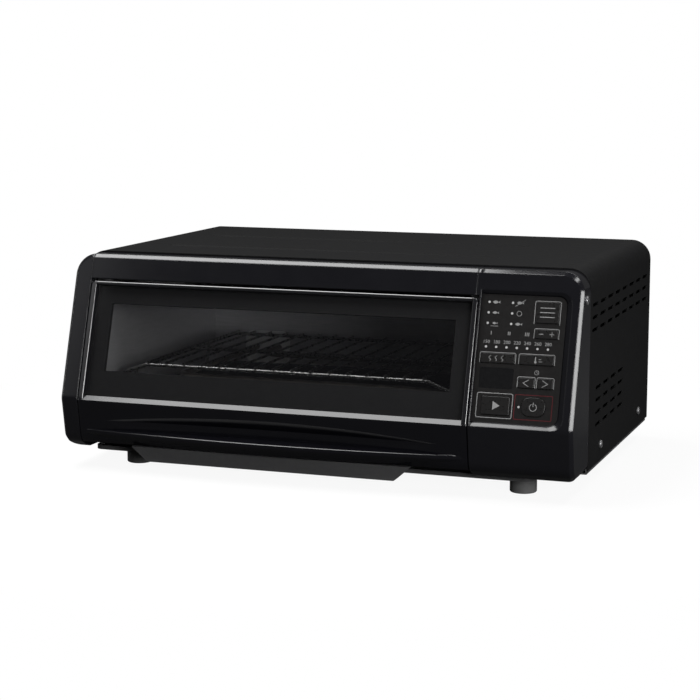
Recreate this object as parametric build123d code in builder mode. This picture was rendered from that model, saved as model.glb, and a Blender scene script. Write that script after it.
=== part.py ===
from build123d import *
from math import asin, cos, degrees, radians, sin, tan
import os

os.makedirs("parts", exist_ok=True)

# An electric fish roaster with a pull-out door and tray. X runs along the front, the user stands
# on the -Y side, Z is up. The origin is on the worktop under the middle of the case. Millimetres.

# ---------------------------------------------------------------- case
case_width = 487.0
case_rear = 172.5
cover_front = -100.0
cover_top = 199.5
cover_bottom = 20.0
cover_radius = 19.0
sheet = 1.0
seat = 0.1  # left between two pieces that are fastened together

side_x = case_width / 2
inner_x = side_x - sheet

rib_left = -190.0
rib_right = 145.0
rib_width = 12.0
rib_depth = 1.0
rib_flank = 65.0
rib_front_y = -33.0
rib_rear_y = 72.0

vent_length = 22.0
vent_height = 3.2
vent_pitch = 32.0
vent_step = 11.2
high_vents = 8
high_vent_rows = 3
high_vent_y = 32.0
high_vent_z = 155.0
low_vents = 4
low_vent_rows = 4
low_vent_y = -14.0
low_vent_z = 73.0

# ---------------------------------------------------------------- leaning front
lean = radians(17.5)
knee_y = -163.0
knee_z = 67.0
knee_radius = 12.0
chin_y = -156.5
chin_z = 27.0
chin_radius = 12.0
sole_y = -141.0
front_top = 198.2
frame_bottom = 18.0
frame_wall = 3.0
frame_corner = 9.0
frame_bevel = 3.0

plate_depth = 14.0  # from the leaning face back to the steel bulkhead
plate_low = 29.0
plate_high = 192.0
door_depth = 13.0  # from the leaning face back to the rear of the door

# ---------------------------------------------------------------- door opening, s runs up the lean
opening_left = -226.0
opening_right = 151.0
opening_top = 114.5
door_gap = 0.9
door_left = opening_left + door_gap
door_right = opening_right - door_gap
door_top = 112.4
strip_end = 148.3  # seam of the top strip and the control housing
seam = 0.3
strip_lip = 2.5

# ---------------------------------------------------------------- door
glass_depth = 3.0
glass_thick = 4.0
glass_tuck = 3.0
glass_gap = 0.3
trim_width = 5.0
trim_round = 1.2
trim_corner = 4.0
bar_height = 3.8
bar_round = 1.6
bevel_drop = 5.5  # height of the slanted ledge under the glass
ledge = 4.2  # s of the ledge's inner edge
window_left = -205.0
window_right = 130.0
window_low = 28.8
window_high = 92.8
window_return = 3.0

handle_middle = -37.5
lip_front = -172.5
lip_high = 38.7
lip_nose = 35.0
lip_back_high = 41.0
lip_low_y = -163.5
lip_low = 26.5
lip_back_low = 25.0
lip_radius = 1170.0
lip_half = 186.0
lip_round = 1.4
groove_low = 41.2
groove_back_high = 48.0
groove_high = 60.0
groove_scoop = 10.0
groove_back = -153.5
groove_radius = 2000.0
groove_half = 176.0
groove_reach = 45.0
pocket_low = 33.0
pocket_high = 40.0
pocket_depth = 4.0
pocket_left = -200.0
pocket_right = 125.0
door_screw_z = 57.0
door_screw_left = -170.0
door_screw_step = 90.0
skirt_high = 24.9
skirt_low = 11.5
skirt_half_high = 135.5
skirt_half_low = 120.0
skirt_front = -158.0
skirt_rear = -150.0
skirt_wall = 2.5

# ---------------------------------------------------------------- cavity
cavity_left = -212.0
cavity_right = 140.0
cavity_floor = 34.0
cavity_top = 180.0
cavity_rear = 126.0
port_left = -60.0
port_right = 40.0
port_low = 120.0
port_high = 160.0

heater_z = 78.0
heater_radius = 3.25
heater_bend = 14.0
heater_left = -164.0
heater_right = 104.0
heater_front = -72.0
heater_back = 84.0
heater_return = -139.0
heater_end = 152.0
heater_hole = 3.4
heater_plate_width = 49.0
heater_plate_height = 34.0
heater_plate_corner = 8.0
heater_plate_rim = 2.0
reflector_front = -70.0
reflector_rear = 96.0
reflector_low = 166.0
reflector_high = 176.0
reflector_left = -204.0
reflector_right = 132.0
reflector_sheet = 0.8
spacer_radius = 4.0

tube_radius = 5.5
tube_wall = 1.0
tube_z = 160.0
tube_front_y = -35.0
tube_rear_y = 55.0
tube_left = -222.0
tube_right = 150.0
rod_radius = 2.0
rod_left = -230.0
rod_right = 156.0
holder_size = 18.0
holder_length = 12.0

sensor_y = 96.0
sensor_z = 150.0
sensor_radius = 2.3
sensor_reach = 26.0
sensor_outside = 7.0
gland_radius = 5.0
gland_length = 3.0

# ---------------------------------------------------------------- drawer
rail_low = 36.0
rail_high = 50.0
rail_width = 9.0
rail_front = -138.0
rail_rear = 116.0
slide_gap = 0.4
arm_thick = 1.5
carrier_rear = 100.0
carrier_bar = 16.0
carrier_front_low = 36.0
carrier_front_high = 62.0
shelf_half = 154.0
shelf_z = 43.0
shelf_thick = 1.5
tray_middle = -36.0
tray_half = 164.0
tray_front = -126.0
tray_rear = 104.0
tray_rim = 65.0
tray_flange = 5.0
tray_wall = 1.2
tray_corner = 14.0
tray_draft = 5.0

# ---------------------------------------------------------------- wire net
net_half_side = 159.0
net_half_top = 138.0
net_side_z = 88.0
net_cross_z = 96.0
net_front = -122.0
net_rear = 92.0
net_foot_half = 161.5
net_foot_front = -100.0
net_foot_rear = 70.0
frame_wire = 2.0
cross_wire = 1.75
bar_wire = 1.25
weld = 0.4
net_bars = 16
net_pitch = 18.0
net_bend = 6.0

# ---------------------------------------------------------------- controls, x and s on the lean
panel_left = 152.8
panel_right = 229.0
panel_low = 4.2
panel_high = 116.4
panel_corner = 8.0
panel_thick = 1.5
panel_margin = 3.0
panel_margin_low = 0.3
panel_bevel_side = 5.5
panel_bevel_top = 3.0
housing_wall = 1.8
# each key and the display as left, right, low, high
menu_area = (202.0, 223.0, 92.8, 111.1)
level_area = (203.0, 223.3, 79.2, 87.0)
smoke_area = (156.7, 187.0, 56.0, 64.5)
heat_area = (191.5, 221.5, 56.0, 64.5)
minus_area = (192.0, 206.0, 35.6, 44.5)
plus_area = (209.0, 222.5, 35.6, 44.5)
start_area = (161.0, 186.0, 11.0, 27.0)
power_area = (196.5, 217.5, 11.5, 27.7)
display_area = (157.0, 187.0, 34.0, 52.0)
key_corner = 1.2
power_corner = 7.0
key_gap = 0.3
key_rise = 0.8
key_travel = 0.6
key_thick = 4.0
key_edge = 0.5
switch_size = 6.0
board_depth = 10.5
board_thick = 1.6
board_left = 154.0
board_right = 234.0
board_low = 2.0
switch_depth = 7.05
post_radius = 2.5
post_inset = 3.5
led_radius = 1.0
led_length = 5.0
menu_led_x = 170.5
menu_led_s = 100.2
menu_led_pitch = 21.0
menu_led_step = 9.3
heat_led_x = 187.9
heat_led_s = 70.2
heat_led_pitch = 9.17
heat_leds = 7
power_led_x = 194.2
power_led_s = 19.1

# ---------------------------------------------------------------- rear
panel_y = 169.5  # front of the back panel
grille_x = 75.0
grille_z = 141.0
grille_rows = 6
grille_step = 8.0
grille_length = 46.0
grille_slot = 4.0
cord_x = 205.0
cord_z = 45.0
cord_radius = 4.0
bush_radius = 7.8
bush_flange = 11.0
bush_flange_thick = 1.8
bush_back_radius = 9.5
bush_back_thick = 3.0
rear_vent_x = 200.0
rear_vent_z = 84.0
rear_vent_rows = 3

duct_left = -66.0
duct_right = 106.0
duct_low = 113.0
duct_high = 169.0
duct_rear = 166.0
fan_x = 75.0
fan_z = 141.0
fan_hole = 24.0
fan_radius = 22.0
hub_radius = 8.0
fan_blades = 7
blade_thick = 1.0
blade_pitch = 35.0
fan_front = 140.0
fan_depth = 12.0
motor_radius = 13.0
motor_front = 153.4
shaft_radius = 1.5
shaft_fit = 0.05
shaft_reach = 10.0
spider_arm = 3.0
filter_width = 104.0
filter_height = 44.0
filter_depth = 12.0
filter_columns = 10
filter_rows = 4
filter_web = 2.0

# ---------------------------------------------------------------- base
foot_x = 188.0
foot_front_y = -109.4
foot_rear_y = 130.0
foot_radius = 12.1
foot_edge = 1.5
stem_radius = 4.0
stem_high = 18.0
base_low = 14.0
base_top = 17.9
tub_left = -224.0
tub_right = 202.0
tub_front = -133.0
tub_rear = 158.0
tub_corner = 8.0
flange_high = 46.0
rear_flange_high = 33.0
base_rear = 169.3
base_slot = 40.0
base_slots = 5
shield_x = 158.0
shield_front = -98.0
shield_rear = 150.0
shield_high = 186.0
support_front_y = -90.0
support_rear_y = 80.0
support_width = 16.0
support_left = -200.0
support_right = 130.0
power_board_x = 165.0
power_board_front = -60.0
power_board_rear = 90.0
power_board_low = 60.0
power_board_high = 150.0
transformer = 30.0
capacitor_radius = 8.0

# ---------------------------------------------------------------- screws
screw_radius = 1.9
screw_length = 8.0
screw_head = 3.8
screw_head_high = 1.8
screw_slot = 0.9
screw_clearance = 0.1
screw_hole = screw_radius + screw_clearance
cover_screw_z = 35.0
cover_screw_front_y = -50.0
cover_screw_rear_y = 123.0
frame_screw_y = -117.0
frame_screw_z = 174.0
back_screw_x = 237.0
back_screw_z = 120.0
back_screw_step = 70.0
base_back_screw_x = 135.0
base_back_screw_z = 26.0
base_screw_x = 120.0
rear_lip = 10.0
ear = 9.0

front_plane = Plane(
    origin=(0, knee_y, knee_z), x_dir=(1, 0, 0), z_dir=(0, -cos(lean), sin(lean))
)


def behind(depth):
    """The plane that lies a depth behind the leaning face, with s upwards as its Y."""
    return front_plane.offset(-depth)


def across(s):
    """The plane square to the leaning face at a height s, facing up the lean."""
    place = (0, knee_y + s * sin(lean), knee_z + s * cos(lean))
    return Plane(origin=place, x_dir=(1, 0, 0), z_dir=(0, sin(lean), cos(lean)))


def at(s, depth):
    """y and z of a point of the front's side section."""
    return (
        knee_y + s * sin(lean) + depth * cos(lean),
        knee_z + s * cos(lean) - depth * sin(lean),
    )


def lean_y(z, depth=0.0):
    """y of the leaning face at a height, or of the plane a depth behind it."""
    return knee_y + (z - knee_z) * tan(lean) + depth / cos(lean)


def front_outline(inset, rear):
    """Side section of the front: down the lean, round the knee and the chin to the sole."""
    top = front_top - inset
    sole = frame_bottom + inset
    with BuildLine() as outline:
        FilletPolyline(
            (rear, sole),
            (rear, top),
            (lean_y(top, inset), top),
            (lean_y(knee_z, inset), knee_z),
            (chin_y + inset, chin_z + inset / 2),
            (sole_y + inset, sole),
            radius=(0, 0, 0, knee_radius, chin_radius, 0),
            close=True,
        )
    return outline.edges()


def ahead_of(depth):
    """Side section of all that lies before a depth: upright below the knee, leaning above."""
    heel = lean_y(knee_z, depth)
    with BuildLine() as outline:
        Polyline(
            (knee_y - case_rear, 0),
            (heel, 0),
            (heel, knee_z),
            (lean_y(cover_top, depth), cover_top),
            (knee_y - case_rear, cover_top),
            close=True,
        )
    return outline.edges()


def above_ledge(gap):
    """Side section of the space over the door's ledge, with its slanted front."""
    slope = bevel_drop / glass_depth
    low = ledge + gap
    with BuildLine() as outline:
        Polyline(
            at(low, glass_depth),
            at(low - slope * (glass_depth + 1), -1),
            at(case_width, -1),
            at(case_width, case_width),
            at(low, case_width),
            close=True,
        )
    return outline.edges()


def case_outline(inset, low, corner):
    """Front view of the case: rounded over the top, smaller corners at the foot."""
    high = front_top - inset
    half = side_x - inset
    with BuildLine() as outline:
        FilletPolyline(
            (-half, low),
            (-half, high),
            (half, high),
            (half, low),
            radius=(corner, cover_radius - inset, cover_radius - inset, corner),
            close=True,
        )
    return outline.edges()


def cover_outline(inset):
    """Front view of the cover's arch, or of the space inside it."""
    half = side_x - inset
    high = cover_top - inset
    corner = max(cover_radius - inset, sheet)
    with BuildLine() as outline:
        FilletPolyline(
            (-half, cover_bottom - inset),
            (-half, high),
            (half, high),
            (half, cover_bottom - inset),
            radius=(0, corner, corner, 0),
            close=True,
        )
    return outline.edges()


def span(left, right, low, high, mode=Mode.ADD):
    """A rectangle between two pairs of limits."""
    with Locations(((left + right) / 2, (low + high) / 2)):
        Rectangle(right - left, high - low, mode=mode)


# ================================================================ front mouldings
with BuildPart() as frame_form:
    with BuildSketch(Plane.YZ.offset(-side_x)):
        make_face(front_outline(0, cover_front))
    extrude(amount=case_width)
    with BuildSketch(Plane.XZ):
        make_face(case_outline(0, frame_bottom, frame_corner))
    extrude(amount=case_width, both=True, mode=Mode.INTERSECT)
    rim = (
        frame_form.edges()
        .filter_by(lambda e: e.center().Y < cover_front - 1)
        .filter_by(
            lambda e: abs(e.center().X) > side_x - cover_radius
            or e.center().Z > front_top - seat
        )
        .filter_by(
            lambda e: e.center().Y < lean_y(e.center().Z) + 2
            and e.center().Z > chin_z + chin_radius / 2
        )
    )
    chamfer(rim, frame_bevel)

with BuildPart() as frame_core:
    with BuildSketch(Plane.YZ.offset(-side_x)):
        make_face(front_outline(frame_wall, cover_front + frame_wall))
    extrude(amount=case_width)
    with BuildSketch(Plane.XZ):
        make_face(
            case_outline(frame_wall, frame_bottom + frame_wall, frame_corner - frame_wall)
        )
    extrude(amount=case_width, both=True, mode=Mode.INTERSECT)

with BuildPart() as frame_shell:
    add(frame_form.part)
    add(frame_core.part, mode=Mode.SUBTRACT)


def side_wall(x, thickness, inset):
    """A wall of the front mouldings that runs back to the bulkhead."""
    with BuildSketch(Plane.YZ.offset(x)) as section:
        make_face(front_outline(inset, cover_front))
        make_face(ahead_of(plate_depth - seat), mode=Mode.INTERSECT)
    extrude(section.sketch, amount=thickness)


def side_hole(x, y, z, depth):
    """A screw hole through a side wall, from x inwards or outwards by a depth."""
    with BuildSketch(Plane.YZ.offset(x)) as hole:
        with Locations((y, z)):
            Circle(screw_hole)
    extrude(hole.sketch, amount=depth, mode=Mode.SUBTRACT)


with BuildPart() as left_pillar:
    add(frame_shell.part)
    split(bisect_by=Plane.YZ.offset(opening_left), keep=Keep.BOTTOM)
    side_wall(opening_left - frame_wall, frame_wall, frame_bevel / 2)
    side_hole(-side_x, frame_screw_y, frame_screw_z, frame_wall)
left_pillar.part.label = "left_pillar"
export_step(left_pillar.part, "parts/left_pillar.step")

with BuildPart() as top_strip:
    add(frame_shell.part)
    split(bisect_by=Plane.YZ.offset(opening_left + seam), keep=Keep.TOP)
    split(bisect_by=Plane.YZ.offset(strip_end), keep=Keep.BOTTOM)
    split(bisect_by=across(opening_top), keep=Keep.TOP)
    with BuildSketch(behind(frame_wall / 2)):
        span(opening_left + seam, strip_end, opening_top, opening_top + strip_lip)
    extrude(amount=frame_wall / 2 + seat - plate_depth)
top_strip.part.label = "top_strip"
export_step(top_strip.part, "parts/top_strip.step")

with BuildPart() as control_housing:
    add(frame_shell.part)
    split(bisect_by=Plane.YZ.offset(strip_end + seam), keep=Keep.TOP)
    side_wall(opening_right, housing_wall, 0)
    with BuildSketch(behind(-case_width)):
        span(strip_end - 1, opening_right, -case_width, opening_top)
    extrude(amount=-2 * case_width, mode=Mode.SUBTRACT)
    # The recess of the keys: a sharp left side at the door, slanted walls elsewhere.
    with BuildSketch(behind(frame_wall)) as recess_floor:
        span(panel_left, panel_right, panel_low, panel_high)
        fillet(recess_floor.vertices().group_by(Axis.X)[-1], panel_corner)
    with BuildSketch(behind(0)) as recess_mouth:
        span(
            panel_left,
            panel_right + panel_bevel_side,
            panel_low - bevel_drop,
            panel_high + panel_bevel_top,
        )
        fillet(recess_mouth.vertices().group_by(Axis.X)[-1], panel_corner + panel_bevel_top)
    loft(mode=Mode.SUBTRACT)
    side_hole(side_x, frame_screw_y, frame_screw_z, -frame_wall)
control_housing.part.label = "control_housing"
export_step(control_housing.part, "parts/control_housing.step")

# ================================================================ steel bulkhead
plate_half = side_x - frame_wall - seat
with BuildPart() as front_plate:
    with BuildSketch(Plane.YZ.offset(-plate_half)):
        make_face(ahead_of(plate_depth + sheet))
        make_face(ahead_of(plate_depth), mode=Mode.SUBTRACT)
        span(-case_width, case_width, plate_low, plate_high, mode=Mode.INTERSECT)
    extrude(amount=2 * plate_half)
    with BuildSketch(Plane.XZ):
        make_face(case_outline(frame_wall + seat, frame_bottom, frame_corner - frame_wall))
    extrude(amount=case_width, both=True, mode=Mode.INTERSECT)
    # Ears at both ends that take the screws of the front mouldings.
    for x in (-plate_half, plate_half - sheet):
        with BuildSketch(Plane.YZ.offset(x)):
            span(
                frame_screw_y - ear,
                lean_y(frame_screw_z + ear, plate_depth) + sheet,
                frame_screw_z - ear,
                frame_screw_z + ear / 2,
            )
            make_face(ahead_of(frame_wall + sheet), mode=Mode.SUBTRACT)
        extrude(amount=sheet)
    with BuildSketch(Plane.XZ.offset(-cover_front)):
        span(
            cavity_left - sheet - seat,
            cavity_right + sheet + seat,
            cavity_floor - sheet - seat,
            cavity_top + sheet + seat,
        )
    extrude(amount=case_width, mode=Mode.SUBTRACT)
    # Way for the wires of the keys.
    with BuildSketch(Plane.XZ.offset(-cover_front)):
        with Locations(((panel_left + panel_right) / 2, (knee_z + front_top) / 2)):
            RectangleRounded(ear * 3, ear * 2, ear / 2)
    extrude(amount=case_width, mode=Mode.SUBTRACT)
    side_hole(-plate_half, frame_screw_y, frame_screw_z, 2 * plate_half)
front_plate.part.label = "front_plate"
export_step(front_plate.part, "parts/front_plate.step")

# ================================================================ cover
with BuildPart() as cover:
    with BuildSketch(Plane.XZ.offset(-cover_front)):
        make_face(cover_outline(0))
        make_face(cover_outline(sheet), mode=Mode.SUBTRACT)
    extrude(amount=cover_front - case_rear)
    # A lip inside the rear edge that takes the back panel.
    with BuildSketch(Plane.XZ.offset(seat - panel_y)):
        make_face(cover_outline(sheet))
        make_face(cover_outline(sheet + rear_lip), mode=Mode.SUBTRACT)
        span(-side_x, side_x, flange_high + sheet, cover_top, mode=Mode.INTERSECT)
    extrude(amount=sheet)
    # Two pressed ribs: the sheet dips, so it shows on both faces.
    rib_middle = (rib_left + rib_right) / 2
    rib_length = rib_right - rib_left
    with BuildSketch(Plane.XY.offset(cover_top - sheet)):
        with Locations((rib_middle, rib_front_y), (rib_middle, rib_rear_y)):
            SlotOverall(rib_length + 2 * sheet, rib_width + 2 * sheet)
    extrude(amount=-rib_depth)
    with BuildSketch(Plane.XY.offset(cover_top)):
        with Locations((rib_middle, rib_front_y), (rib_middle, rib_rear_y)):
            SlotOverall(rib_length, rib_width)
    extrude(amount=-rib_depth, taper=rib_flank, mode=Mode.SUBTRACT)
    # Punched slots, high on both sides and low beside the electronics.
    with BuildSketch(Plane.YZ.offset(-side_x)):
        with Locations((high_vent_y, high_vent_z)):
            with GridLocations(vent_pitch, vent_step, high_vents, high_vent_rows):
                SlotOverall(vent_length, vent_height)
    extrude(amount=case_width, mode=Mode.SUBTRACT)
    with BuildSketch(Plane.YZ.offset(side_x)):
        with Locations((low_vent_y, low_vent_z)):
            with GridLocations(vent_pitch, vent_step, low_vents, low_vent_rows):
                SlotOverall(vent_length, vent_height)
    extrude(amount=-2 * sheet, mode=Mode.SUBTRACT)
    for y in (cover_screw_front_y, cover_screw_rear_y):
        side_hole(-side_x, y, cover_screw_z, case_width)
    with BuildSketch(Plane.XZ.offset(-panel_y)):
        with Locations((0, back_screw_z)):
            with GridLocations(2 * back_screw_x, back_screw_step, 2, 2):
                Circle(screw_hole)
    extrude(amount=2 * sheet, mode=Mode.SUBTRACT)
cover.part.label = "cover"
export_step(cover.part, "parts/cover.step")

# ================================================================ base
foot_places = (
    (-foot_x, foot_front_y),
    (foot_x, foot_front_y),
    (-foot_x, foot_rear_y),
    (foot_x, foot_rear_y),
)
with BuildPart() as base_pan:
    with BuildSketch(Plane.XY.offset(base_top)):
        span(seat - inner_x, inner_x - seat, cover_front + seat, base_rear)
    extrude(amount=-sheet)
    with BuildSketch(Plane.XY.offset(base_top)):
        span(tub_left, tub_right, tub_front, tub_rear)
    extrude(amount=base_low - base_top)
    tub_edges = base_pan.edges().filter_by(Axis.Z).group_by(SortBy.LENGTH)[-1]
    fillet(tub_edges, tub_corner)
    with BuildSketch(Plane.XY.offset(base_top)) as tub_hollow:
        span(tub_left + sheet, tub_right - sheet, tub_front + sheet, tub_rear - sheet)
        fillet(tub_hollow.vertices(), tub_corner - sheet)
    extrude(amount=base_low + sheet - base_top, mode=Mode.SUBTRACT)
    for x in (seat - inner_x, inner_x - seat - sheet):
        with BuildSketch(Plane.YZ.offset(x)):
            span(cover_front + seat, base_rear, base_top - sheet, flange_high)
        extrude(amount=sheet)
    with BuildSketch(Plane.XZ.offset(-base_rear)):
        span(seat - inner_x, inner_x - seat, base_top - sheet, rear_flange_high)
    extrude(amount=sheet)
    for y in (cover_screw_front_y, cover_screw_rear_y):
        side_hole(-side_x, y, cover_screw_z, case_width)
    # Below: stems of the feet, screws of the supports, and slots for the air.
    with BuildSketch(Plane.XY):
        with Locations(*foot_places):
            Circle(stem_radius + seat)
        with Locations((0, support_front_y), (0, support_rear_y)):
            with GridLocations(2 * base_screw_x, 1, 2, 1):
                Circle(screw_hole)
        with GridLocations(base_slot * 1.5, base_slot, base_slots, 2):
            SlotOverall(base_slot, grille_slot)
    extrude(amount=flange_high, mode=Mode.SUBTRACT)
    with BuildSketch(Plane.XZ.offset(-base_rear)):
        with Locations((0, base_back_screw_z)):
            with GridLocations(2 * base_back_screw_x, 1, 2, 1):
                Circle(screw_hole)
    extrude(amount=sheet, mode=Mode.SUBTRACT)
base_pan.part.label = "base_pan"
export_step(base_pan.part, "parts/base_pan.step")

for name, place in zip(
    ("foot_front_left", "foot_front_right", "foot_rear_left", "foot_rear_right"), foot_places
):
    with BuildPart() as foot:
        with BuildSketch(Plane.XY):
            with Locations(place):
                Circle(foot_radius)
        extrude(amount=base_low - seat)
        fillet(foot.edges().group_by(Axis.Z)[0], foot_edge)
        with BuildSketch(Plane.XY.offset(base_low - seat)):
            with Locations(place):
                Circle(stem_radius)
        extrude(amount=stem_high - base_low)
    foot.part.label = name
    export_step(foot.part, "parts/" + name + ".step")

# ================================================================ back panel
with BuildPart() as back_panel:
    with BuildSketch(Plane.XZ.offset(-panel_y)):
        make_face(cover_outline(sheet + seat))
        span(-side_x, side_x, frame_bottom, cover_top, mode=Mode.INTERSECT)
        with Locations((grille_x, grille_z)):
            with GridLocations(1, grille_step, 1, grille_rows):
                SlotOverall(grille_length, grille_slot, mode=Mode.SUBTRACT)
        with Locations((rear_vent_x, rear_vent_z)):
            with GridLocations(1, vent_step, 1, rear_vent_rows):
                SlotOverall(grille_length, vent_height, mode=Mode.SUBTRACT)
        with Locations((cord_x, cord_z)):
            Circle(bush_radius + seat, mode=Mode.SUBTRACT)
        with Locations((0, back_screw_z)):
            with GridLocations(2 * back_screw_x, back_screw_step, 2, 2):
                Circle(screw_hole, mode=Mode.SUBTRACT)
        with Locations((0, base_back_screw_z)):
            with GridLocations(2 * base_back_screw_x, 1, 2, 1):
                Circle(screw_hole, mode=Mode.SUBTRACT)
    extrude(amount=-sheet)
back_panel.part.label = "back_panel"
export_step(back_panel.part, "parts/back_panel.step")

with BuildPart() as cord_bush:
    for radius, start, thick in (
        (bush_back_radius, panel_y - seat - bush_back_thick, bush_back_thick),
        (bush_radius, panel_y - seat, sheet + 2 * seat),
        (bush_flange, panel_y + sheet + seat, bush_flange_thick),
    ):
        with BuildSketch(Plane.XZ.offset(-start)):
            with Locations((cord_x, cord_z)):
                Circle(radius)
        extrude(amount=-thick)
    fillet(cord_bush.edges().group_by(Axis.Y)[-1], bush_flange_thick / 2)
    with BuildSketch(Plane.XZ.offset(-panel_y)):
        with Locations((cord_x, cord_z)):
            Circle(cord_radius)
    extrude(amount=2 * bush_flange, both=True, mode=Mode.SUBTRACT)
cord_bush.part.label = "cord_bush"
export_step(cord_bush.part, "parts/cord_bush.step")

# ================================================================ controls
key_areas = (
    menu_area,
    level_area,
    smoke_area,
    heat_area,
    minus_area,
    plus_area,
    start_area,
)
post_places = (
    (panel_left + post_inset, panel_low),
    (panel_right, panel_low),
    (panel_left + post_inset, panel_high - seat),
    (panel_right, panel_high - seat),
)


def led_places():
    """The lamps of the menu, of the temperature scale and of the power key."""
    places = [(power_led_x, power_led_s)]
    for i in (-1, 0, 1):
        for side in (-0.5, 0.5):
            places.append((menu_led_x + side * menu_led_pitch, menu_led_s + i * menu_led_step))
    for i in range(heat_leds):
        places.append((heat_led_x + (i - heat_leds // 2) * heat_led_pitch, heat_led_s))
    return places


def area(limits, corner, grow, mode=Mode.ADD):
    """A rounded rectangle over left, right, low, high, grown on every side."""
    left, right, low, high = limits
    with Locations(((left + right) / 2, (low + high) / 2)):
        RectangleRounded(
            right - left + 2 * grow, high - low + 2 * grow, corner + grow, mode=mode
        )


panel_face = frame_wall + seat
with BuildPart() as control_panel:
    with BuildSketch(behind(panel_face)):
        span(
            panel_left + seat,
            panel_right + panel_margin,
            panel_low - panel_margin_low,
            panel_high + panel_margin,
        )
        for limits in key_areas:
            area(limits, key_corner, key_gap, mode=Mode.SUBTRACT)
        area(power_area, power_corner, key_gap, mode=Mode.SUBTRACT)
        area(display_area, key_corner, seat, mode=Mode.SUBTRACT)
        with Locations(*led_places()):
            Circle(led_radius + seat, mode=Mode.SUBTRACT)
    extrude(amount=-panel_thick)
    with BuildSketch(behind(panel_face + panel_thick)):
        with Locations(*post_places):
            Circle(post_radius)
    extrude(amount=panel_face + panel_thick + seat - board_depth)
control_panel.part.label = "control_panel"
export_step(control_panel.part, "parts/control_panel.step")

with BuildPart() as display_window:
    with BuildSketch(behind(panel_face)):
        area(display_area, key_corner, 0)
    extrude(amount=-panel_thick)
display_window.part.label = "display_window"
export_step(display_window.part, "parts/display_window.step")

with BuildPart() as led_lights:
    with BuildSketch(behind(panel_face)):
        with Locations(*led_places()):
            Circle(led_radius)
    extrude(amount=-led_length)
led_lights.part.label = "led_lights"
export_step(led_lights.part, "parts/led_lights.step")

with BuildPart() as control_board:
    with BuildSketch(behind(board_depth)):
        span(board_left, board_right, board_low, panel_high)
    extrude(amount=-board_thick)
    with BuildSketch(behind(board_depth)):
        for left, right, low, high in (*key_areas, power_area):
            with Locations(((left + right) / 2, (low + high) / 2)):
                Rectangle(switch_size, switch_size)
    extrude(amount=board_depth - switch_depth)
    with BuildSketch(behind(board_depth)):
        area(display_area, key_corner, -sheet)
    extrude(amount=board_depth - switch_depth)
control_board.part.label = "control_board"
export_step(control_board.part, "parts/control_board.step")


def key_cap(limits, corner):
    """A key cap with a softened rim, standing a little proud of the panel."""
    with BuildSketch(behind(panel_face - key_rise)) as face:
        area(limits, corner, 0)
    cap = extrude(face.sketch, amount=-key_thick)
    rim = cap.edges().filter_by(
        lambda e: abs(front_plane.to_local_coords(e.center()).Z + panel_face - key_rise) < seat
    )
    fillet(rim, key_edge)


with BuildPart() as menu_key:
    key_cap(menu_area, key_corner)
menu_key.part.label = "menu_key"
export_step(menu_key.part, "parts/menu_key.step")

with BuildPart() as level_key:
    key_cap(level_area, key_corner)
level_key.part.label = "level_key"
export_step(level_key.part, "parts/level_key.step")

with BuildPart() as smoke_key:
    key_cap(smoke_area, key_corner)
smoke_key.part.label = "smoke_key"
export_step(smoke_key.part, "parts/smoke_key.step")

with BuildPart() as temperature_key:
    key_cap(heat_area, key_corner)
temperature_key.part.label = "temperature_key"
export_step(temperature_key.part, "parts/temperature_key.step")

with BuildPart() as minus_key:
    key_cap(minus_area, key_corner)
minus_key.part.label = "minus_key"
export_step(minus_key.part, "parts/minus_key.step")

with BuildPart() as plus_key:
    key_cap(plus_area, key_corner)
plus_key.part.label = "plus_key"
export_step(plus_key.part, "parts/plus_key.step")

with BuildPart() as start_key:
    key_cap(start_area, key_corner)
start_key.part.label = "start_key"
export_step(start_key.part, "parts/start_key.step")

with BuildPart() as power_key:
    key_cap(power_area, power_corner)
power_key.part.label = "power_key"
export_step(power_key.part, "parts/power_key.step")

# ================================================================ cavity
with BuildPart() as cavity:
    with BuildSketch(Plane.YZ.offset(cavity_left - sheet)):
        span(-case_rear, cavity_rear + sheet, cavity_floor - sheet, cavity_top + sheet)
        make_face(ahead_of(plate_depth), mode=Mode.SUBTRACT)
    extrude(amount=cavity_right - cavity_left + 2 * sheet)
    with BuildSketch(Plane.YZ.offset(cavity_left)):
        span(-case_rear, cavity_rear, cavity_floor, cavity_top)
    extrude(amount=cavity_right - cavity_left, mode=Mode.SUBTRACT)
    with BuildSketch(Plane.XZ.offset(-cavity_rear)):
        span(port_left, port_right, port_low, port_high)
        with Locations((heater_left, heater_z), (heater_return, heater_z)):
            Circle(heater_hole)
    extrude(amount=-sheet, mode=Mode.SUBTRACT)
    with BuildSketch(Plane.YZ.offset(cavity_left - sheet)):
        with Locations((tube_front_y, tube_z), (tube_rear_y, tube_z)):
            Circle(tube_radius + 5 * seat)
    extrude(amount=case_width, mode=Mode.SUBTRACT)
    with BuildSketch(Plane.YZ.offset(cavity_right)):
        with Locations((sensor_y, sensor_z)):
            Circle(sensor_radius + seat)
    extrude(amount=sheet, mode=Mode.SUBTRACT)
cavity.part.label = "cavity"
export_step(cavity.part, "parts/cavity.step")

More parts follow.
